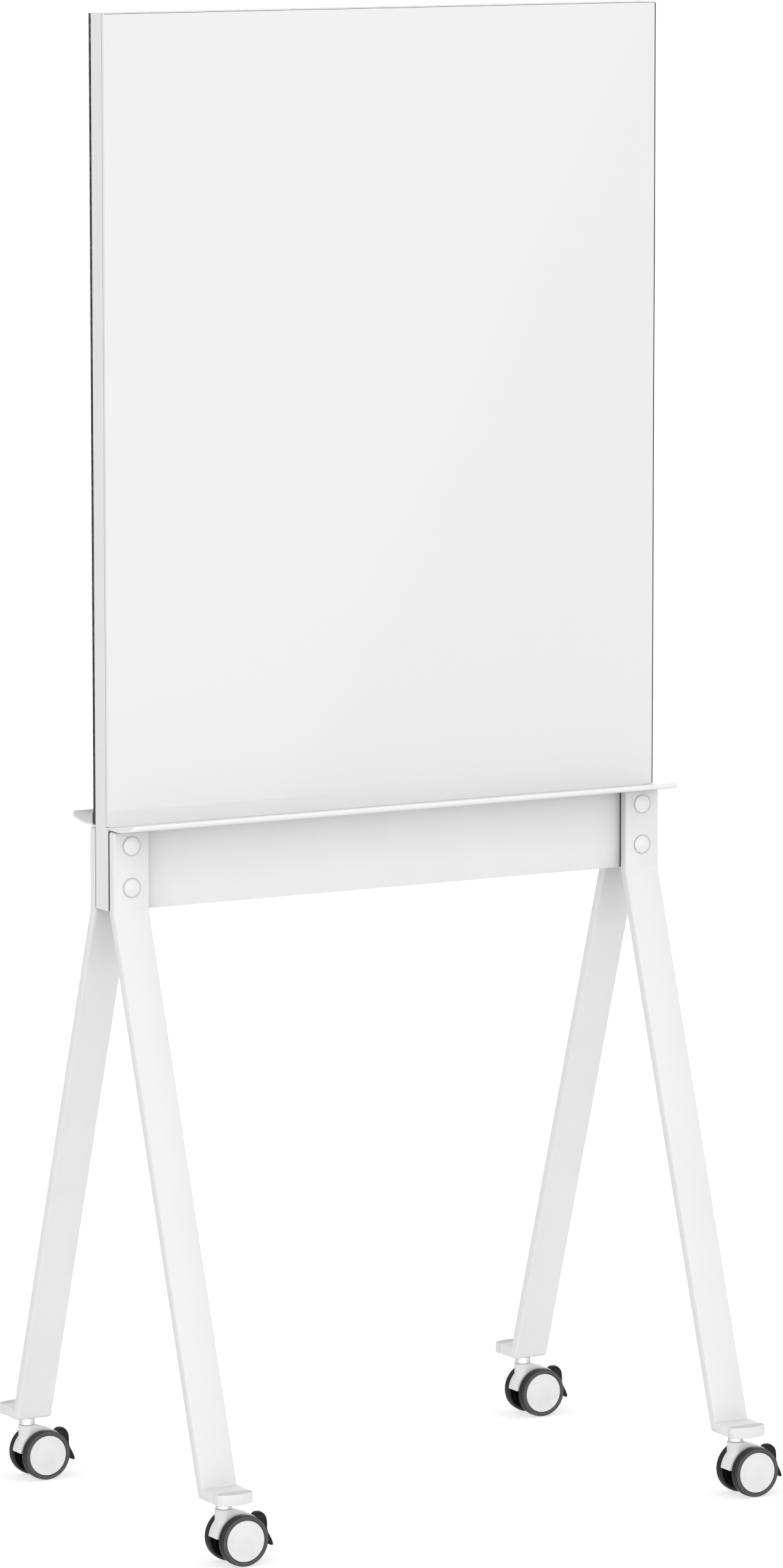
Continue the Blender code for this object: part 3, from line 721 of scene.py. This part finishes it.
def fasteners(looks):
    """Low domed heads with a crisp rim over a shallow seat, and their shanks."""
    radius = 12.25
    rise = 3.6
    rim = 0.6
    lip = 0.12
    groove_depth = 0.3
    inner = radius - 0.6
    bulge = rise + rim - groove_depth
    sphere = (inner ** 2 + bulge ** 2) / (2 * bulge)
    widest = math.degrees(math.asin(inner / sphere))
    dome = arc((0.0, rim + rise - sphere), sphere, 90 - widest, 90, 14)
    head = [(5.0, 0.0), (radius - 0.1, 0.0), (radius, 0.1), (radius, 0.5), (radius - lip, 0.55),
            (radius - lip - 0.02, 0.05), (inner + 0.02, 0.05)] + dome[:-1] + [(0.0, rim + rise)]
    profile = [(0.0, -20.0), (4.6, -20.0), (5.0, -19.5)] + head
    mesh = turned("domed_head", profile, steps=72, angle=50.0)
    for word in ("left", "right"):
        for level in ("lower", "upper"):
            for kind, side in (("bolt", -1), ("sleeve_nut", 1)):
                node = f"{word}_{level}_{kind}"
                low, high = node_box(node)
                spot = (low + high) / 2
                face = (low.y + rise + rim) if side < 0 else (high.y - rise - rim)
                piece(node + "_head", mesh, looks["fastener"], ROOT, node,
                      (spot.x, face, spot.z), (math.radians(-90 * side), 0, 0))


# ---- castors -----------------------------------------------------------------------------
def castor_body_mesh():
    """Column, fender, web and lever cheeks, joined, bored and softened."""
    axle = (TRAIL, WHEEL_RADIUS)
    pin = (TRAIL + LEVER_PIVOT[0], WHEEL_RADIUS + LEVER_PIVOT[1])
    notch_half = NECK_HALF + 0.6
    shoulder = DECK - 0.6
    outer = arc(axle, FENDER_OUTER, FENDER_END, 62, 6)
    nose = arc(axle, FENDER_OUTER, 128, FENDER_START, 20)
    inner = arc(axle, FENDER_INNER, FENDER_START, FENDER_END, 40)
    outline = outer + [(COLUMN * 0.75, shoulder), (0.0, shoulder)] + nose + inner
    whole = loose("castor_blank", prism("fender", outline, -BODY_HALF, BODY_HALF))
    boolean(whole, rod(BODY_HALF + 0.02, 46, DECK, (0, 0), "Z", 96), "UNION")
    web = arc(axle, 9.0, -150, 30, 20) + [(TRAIL + 12, 60), (-7, 60), (-7, 47)]
    boolean(whole, prism("web", web, -5.0, 5.0), "UNION")
    cheek = arc(pin, 4.0, -160, 20, 16) + arc(axle, FENDER_INNER + 2, FENDER_END, 60, 6)
    for low, high in ((-BODY_HALF, -notch_half), (notch_half, BODY_HALF)):
        boolean(whole, prism("cheek", cheek, low, high), "UNION")
    start = pin[0] - 5.5
    notch = prism("notch", rectangle(start, start + 40, 30, 90), -notch_half, notch_half)
    boolean(whole, notch, "DIFFERENCE")
    boolean(whole, rod(1.6, -BODY_HALF + 1, BODY_HALF - 1, pin, "Y", 24), "UNION")
    boolean(whole, rod(5.7, 51.7, DECK + 5, (0, 0), "Z", 48), "DIFFERENCE")
    boolean(whole, rod(3.3, -30, 30, axle, "Y", 32), "DIFFERENCE")
    bevel(whole, 0.7, 3, 38.0)
    return finished(whole, "castor_housing", 38.0)


def wheel_mesh():
    """A stepped tread with a groove behind its face ring, and a recessed inner side."""
    inner, outer, radius = WHEEL_INNER, WHEEL_OUTER, WHEEL_RADIUS
    tread = [(3.3, inner + 1.6), (8.0, inner + 1.6), (8.6, inner), (11.0, inner), (11.6, inner + 1.4),
             (25.4, inner + 1.4), (26.2, inner), (radius - 1.8, inner), (radius - 0.35, inner + 1.3),
             (radius, inner + 3.2), (radius, outer - 5.0), (radius - 0.25, outer - 4.0),
             (radius - 1.25, outer - 3.6), (radius - 1.35, outer - 2.7), (radius - 0.45, outer - 2.4),
             (radius - 0.35, outer - 1.0), (radius - 1.2, outer), (27.3, outer), (26.4, outer - 0.9),
             (26.4, outer - 3.2), (3.3, outer - 3.2)]
    return turned("wheel", rounded(tread, 0.5, 3), "Y", 128, 40.0)


def hub_cover_mesh():
    """A flat disc in the wheel's seat, with a soft rim."""
    outer = WHEEL_OUTER
    profile = [(0.0, outer - 2.9), (26.1, outer - 2.9), (26.1, outer - 0.3), (25.6, outer + 0.1),
               (25.0, outer + 0.02), (0.0, outer - 0.05)]
    return turned("hub_cover", rounded(profile, 0.25, 3), "Y", 128, 50.0)


def lever_mesh():
    """The pedal: a domed lobe, a hollow middle and a thin lip."""
    top = 30.4
    outline = [(24.6, 25.4), (26.0, 28.4), (28.6, 30.2), (31.6, top), (34.6, 28.4), (36.8, 25.0),
               (38.2, 20.6), (38.8, 15.0), (38.8, 9.6), (39.8, 4.8), (42.2, 0.0), (45.0, -5.4),
               (47.0, -10.8), (46.8, -13.0), (45.0, -13.4), (40.6, -11.6), (35.4, -10.4),
               (33.4, -4.0), (31.2, 3.0), (28.6, 6.2)]
    curve = smooth_through([(x - LEVER_PIVOT[0], z - LEVER_PIVOT[1]) for x, z in outline], 4)
    curve += arc((0, 0), 5.0, 285, 120, 16)
    whole = loose("lever_blank", prism("lever", curve, -LEVER_HALF, LEVER_HALF))
    axis = (-LEVER_PIVOT[0], -LEVER_PIVOT[1])
    for low, high in ((-20.0, -NECK_HALF), (NECK_HALF, 20.0)):
        sector = arc(axis, FENDER_OUTER + 1.2, -60, 90, 60) + [axis]
        boolean(whole, prism("slot", sector, low, high), "DIFFERENCE")
    crown = top - LEVER_PIVOT[1]
    bound = LEVER_HALF + 0.05
    dome = arc((0.0, crown - bound), bound, 0, 180, 32) + [(-bound, -40.0), (bound, -40.0)]
    boolean(whole, prism("dome", dome, -20.0, 40.0, "X"), "INTERSECT")
    boolean(whole, rod(1.9, -20, 20, (0, 0), "Y", 24), "DIFFERENCE")
    bevel(whole, 0.8, 3, 42.0)
    return finished(whole, "lever", 42.0)


def stem_mesh():
    """A stud that goes up into the foot, a collar with a flange under it, and a swivel pin."""
    low = DECK + 0.3
    foot = 82.7
    profile = [(0.0, 52.0), (5.0, 52.0), (5.4, 52.4), (5.4, low), (9.2, low), (9.8, low + 0.6),
               (9.8, foot - 2.2), (11.2, foot - 1.1), (11.2, foot), (5.0, foot), (5.0, foot + 10.0),
               (0.0, foot + 10.0)]
    return turned("stem", rounded(profile, 0.35, 3), steps=72, angle=45.0)


def castors(looks):
    body = castor_body_mesh()
    wheel = wheel_mesh()
    cover = hub_cover_mesh()
    lever = lever_mesh()
    stem = stem_mesh()
    for corner in CORNERS:
        at = node_middle(corner + "_castor_stem")
        spot = (at.x, at.y, 0.0)
        hub = (at.x + TRAIL, at.y, WHEEL_RADIUS)
        swivel = corner + "_swivel"
        piece(corner + "_castor_neck", stem, looks["steel"], ROOT,
              corner + "_castor_stem", spot)
        piece(corner + "_castor_housing", body, looks["white_plastic"], swivel,
              corner + "_castor_body", spot)
        dress(corner + "_castor_axle", looks["steel"])
        for turn, word in ((180, "front"), (0, "back")):
            wheel_body = f"{corner}_{word}_wheel"
            turned_by = (0, 0, math.radians(turn))
            piece(f"{corner}_{word}_tyre", wheel, looks["tyre"], wheel_body,
                  f"{corner}_castor_{word}_wheel", hub, turned_by)
            piece(f"{corner}_{word}_hub_disc", cover, looks["disc"], wheel_body,
                  f"{corner}_castor_{word}_hub_cover", hub, turned_by)
        pin = (hub[0] + LEVER_PIVOT[0], at.y, WHEEL_RADIUS + LEVER_PIVOT[1])
        piece(corner + "_brake_pedal", lever, looks["black_plastic"], corner + "_lever",
              corner + "_brake_lever", pin)


# ---- studio ------------------------------------------------------------------------------
def floor():
    """A pale floor that glows, a little more for the camera, so that it blends into the sky."""
    glow, glow_seen = 0.505, 0.66
    look = Look("studio_floor", (0.45, 0.45, 0.45), 0.9)
    look.put("Specular IOR Level", 0.0)
    look.put("Emission Color", (1.0, 1.0, 1.0, 1.0))
    seen = look.node("ShaderNodeLightPath").outputs["Is Camera Ray"]
    look.link(look.range(seen, 0.0, 1.0, glow, glow_seen), look.shader.inputs["Emission Strength"])
    half = 60.0
    corners = [(x, y, 0.0) for x, y in rectangle(-half, half, -half, half)]
    mesh = bpy.data.meshes.new("floor")
    mesh.from_pydata(corners, [], [(0, 1, 2, 3)])
    mesh.materials.append(look.material)
    made = loose("studio_floor", mesh)
    made.location.z = -0.0004
    made.visible_glossy = False


def sky():
    """Soft light from all round, stronger from the front and the left."""
    mean = 0.895
    lean = (-0.17, -0.44, 0.02)
    world = bpy.data.worlds.new("studio")
    bpy.context.scene.world = world
    world.use_nodes = True
    tree = world.node_tree
    background = tree.nodes["Background"]
    background.inputs["Color"].default_value = (1.0, 1.0, 1.0, 1.0)
    ways = tree.nodes.new("ShaderNodeTexCoord")
    dot = tree.nodes.new("ShaderNodeVectorMath")
    dot.operation = "DOT_PRODUCT"
    dot.inputs[1].default_value = lean
    tree.links.new(ways.outputs["Generated"], dot.inputs[0])
    total = tree.nodes.new("ShaderNodeMath")
    total.operation = "ADD"
    total.inputs[1].default_value = mean
    tree.links.new(dot.outputs["Value"], total.inputs[0])
    path = tree.nodes.new("ShaderNodeLightPath")
    seen = tree.nodes.new("ShaderNodeMix")
    tree.links.new(path.outputs["Is Camera Ray"], seen.inputs[0])
    tree.links.new(total.outputs["Value"], seen.inputs[2])
    seen.inputs[3].default_value = 1.0
    tree.links.new(seen.outputs[0], background.inputs["Strength"])


def panel_glow():
    """Light from a stage panel, as strong as its point attribute says, clear where that is 0."""
    made = bpy.data.materials.new("softbox_glow")
    made.use_nodes = True
    tree = made.node_tree
    tree.nodes.clear()
    strength = 1.88
    glow = tree.nodes.new("ShaderNodeEmission")
    glow.inputs["Strength"].default_value = strength
    clear = tree.nodes.new("ShaderNodeBsdfTransparent")
    level = tree.nodes.new("ShaderNodeVertexColor")
    level.layer_name = "glow"
    mixed = tree.nodes.new("ShaderNodeMixShader")
    output = tree.nodes.new("ShaderNodeOutputMaterial")
    tree.links.new(level.outputs["Color"], mixed.inputs["Fac"])
    tree.links.new(clear.outputs["BSDF"], mixed.inputs[1])
    tree.links.new(glow.outputs["Emission"], mixed.inputs[2])
    tree.links.new(mixed.outputs["Shader"], output.inputs["Surface"])
    return made


def panel(name, y, faces, look):
    """Upright stage faces in one plane, seen only in gloss; a face is (x, z, level) points."""
    mesh = bpy.data.meshes.new(name)
    corners = [point for face in faces for point in face]
    counts = [len(face) for face in faces]
    starts = [sum(counts[:i]) for i in range(len(counts))]
    loops = [tuple(range(start, start + count)) for start, count in zip(starts, counts)]
    mesh.from_pydata([(x, y, z) for x, z, level in corners], [], loops)
    tone = mesh.color_attributes.new("glow", "FLOAT_COLOR", "POINT")
    for item, (x, z, level) in zip(tone.data, corners):
        item.color = (level, level, level, 1.0)
    mesh.materials.append(look)
    made = loose(name, mesh)
    made.visible_camera = False
    made.visible_diffuse = False
    made.visible_shadow = False
    made.visible_transmission = False


def softbox():
    """A large panel whose slanted right side shows in the glass, and a dimmer one at the back."""
    front, behind = -3.0, 4.0
    low, high = 0.27, 2.19
    far = -2.2
    dim, behind_dim = 0.75, 0.5
    soft = 0.03
    foot, head = (1.40, low), (2.42, high)
    fold_start, fold_end = (-0.03, low), (1.728, 0.891)

    def at(point, level, shift=0.0):
        return (point[0] + shift, point[1], level)

    upper = [(far, low, 1.0), at(fold_start, 1.0), at(fold_end, 1.0, -soft), at(head, 1.0, -soft),
             (far, high, 1.0)]
    lower = [at(fold_start, dim), at(foot, dim, -soft), at(fold_end, dim, -soft)]
    rim_upper = [at(fold_end, 1.0, -soft), at(fold_end, 0.0, soft), at(head, 0.0, soft), at(head, 1.0, -soft)]
    rim_lower = [at(foot, dim, -soft), at(foot, 0.0, soft), at(fold_end, 0.0, soft), at(fold_end, dim, -soft)]
    look = panel_glow()
    panel("softbox", front, [upper, lower, rim_upper, rim_lower], look)
    upright = rectangle(0.9, 7.0, 0.3, 4.5)     # its limits in X, then in Z
    panel("back_panel", behind, [[(x, z, behind_dim) for x, z in upright]], look)


def camera():
    """The photograph's view: from the front left, looking slightly down, through a long lens."""
    azimuth, elevation, roll = math.radians(-29.568), math.radians(8.017), math.radians(-0.033)
    distance = 9.71409
    target = Vector((-0.0016, 0.0, 0.91884))
    back = Vector((math.sin(azimuth) * math.cos(elevation), -math.cos(azimuth) * math.cos(elevation),
                   math.sin(elevation)))
    data = bpy.data.cameras.new("camera")
    data.sensor_width = 36.0
    data.lens = 174.04
    data.clip_end = 300.0
    made = bpy.data.objects.new("camera", data)
    bpy.context.scene.collection.objects.link(made)
    made.location = target + back * distance
    made.rotation_mode = "QUATERNION"
    turn = (-back).to_track_quat("-Z", "Y")
    made.rotation_quaternion = turn @ Matrix.Rotation(roll, 3, "Z").to_quaternion()
    bpy.context.scene.camera = made


def build():
    looks = {
        "coat": powder_coat("white_powder_coat", (0.80, 0.80, 0.802)),
        # Painted light: the trays get a lighter copy of the white coat, with little painted corner shade.
        "tray": powder_coat("tray_lit_powder_coat", (0.86, 0.86, 0.862), low=0.95),
        "core": fibreboard(),
        "glass": back_painted_glass(),
        "felt": pin_felt(),
        "rail": moulded("black_rail", (0.03, 0.03, 0.032), 0.5),
        # Black for the painted edge shade and for the film behind the glass.
        "edge_shade_and_film": moulded("black_edge_shade_and_film", (0.005, 0.005, 0.006), 0.7, specular=0.15),
        "gasket": foam_gasket(),
        "white_plastic": moulded("white_moulding", (0.80, 0.80, 0.803), 0.36),
        "cap": cap_moulding(),
        "disc": moulded("hub_disc_moulding", (0.78, 0.78, 0.783), 0.42),
        "fastener": powder_coat("fastener_coat", (0.82, 0.82, 0.822), 0.36, reach=0.004),
        "steel": plated_steel(),
        "tyre": tread_rubber(),
        "black_plastic": moulded("black_moulding", (0.006, 0.006, 0.0065), 0.24, specular=0.22),
    }
    board(looks)
    for node, side in (("front_tray", -1), ("back_tray", 1)):
        tray(node, side, looks)
    for corner in CORNERS:
        leg(corner, looks)
        dress(corner + "_leg_gasket", looks["gasket"])
        foot_cap(corner, looks)
    fasteners(looks)
    castors(looks)
    floor()
    sky()
    softbox()
    camera()
    bpy.context.scene.view_settings.view_transform = "Standard"


build()
